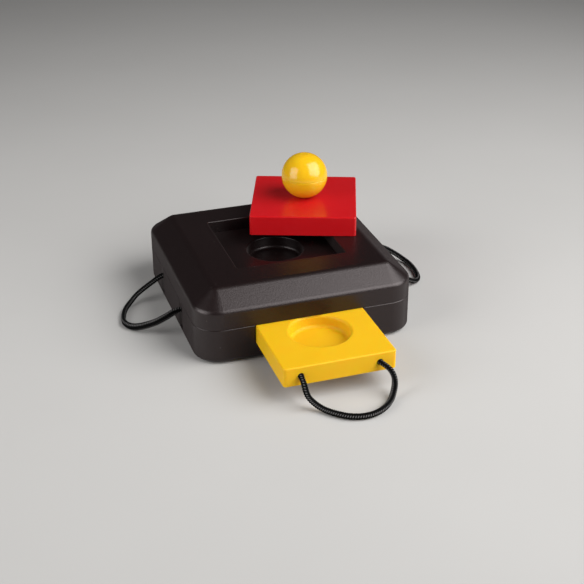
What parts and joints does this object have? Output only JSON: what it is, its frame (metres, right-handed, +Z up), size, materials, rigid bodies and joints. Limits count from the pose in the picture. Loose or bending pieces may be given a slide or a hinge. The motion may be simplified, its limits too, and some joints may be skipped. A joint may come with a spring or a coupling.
{
  "type": "dog puzzle toy",
  "caption": "Square bevelled dog toy that hides treats: a lid with a ball grip lifts off a cup in the top, a drawer with its own cup pulls out on a cord loop, and cord loops hang at the sides.",
  "frame": {"origin": "on the standing surface, under the middle of the case", "axes": "+X to the right, +Y to the back so the drawer pulls out towards -Y, +Z up"},
  "size_m": [0.2678, 0.2888, 0.1135],
  "materials": {
    "case_black": "fine mould texture, satin",
    "drawer_yellow": "smooth gloss",
    "ball_yellow": "smooth gloss",
    "lid_red": "smooth gloss",
    "cord_black": "braided synthetic cord",
    "foot_rubber": "matt",
    "screw_steel": "zinc plated"
  },
  "bodies": {
    "housing": {"lower_shell": "case_black", "upper_shell": "case_black", "case_screws": "screw_steel", "foot_front_left": "foot_rubber", "foot_front_right": "foot_rubber", "foot_rear_left": "foot_rubber", "foot_rear_right": "foot_rubber", "left_cord": "cord_black", "left_front_knot": "cord_black", "left_rear_knot": "cord_black", "right_cord": "cord_black", "right_front_knot": "cord_black", "right_rear_knot": "cord_black"},
    "drawer": {"drawer": "drawer_yellow", "drawer_cord": "cord_black", "drawer_left_knot": "cord_black", "drawer_right_knot": "cord_black"},
    "lid": {"lid_block": "lid_red", "ball_lower_half": "ball_yellow", "ball_upper_half": "ball_yellow", "ball_screw": "screw_steel"}
  },
  "joints": [
    {"name": "drawer_slide", "type": "slide", "parent": "housing", "child": "drawer", "axis": [0, -1, 0], "range_m": [-0.0685, 0.012]},
    {"name": "lid_lift", "type": "slide", "parent": "housing", "child": "lid", "axis": [0, 0, 1], "range_m": [0, 0.1]}
  ]
}
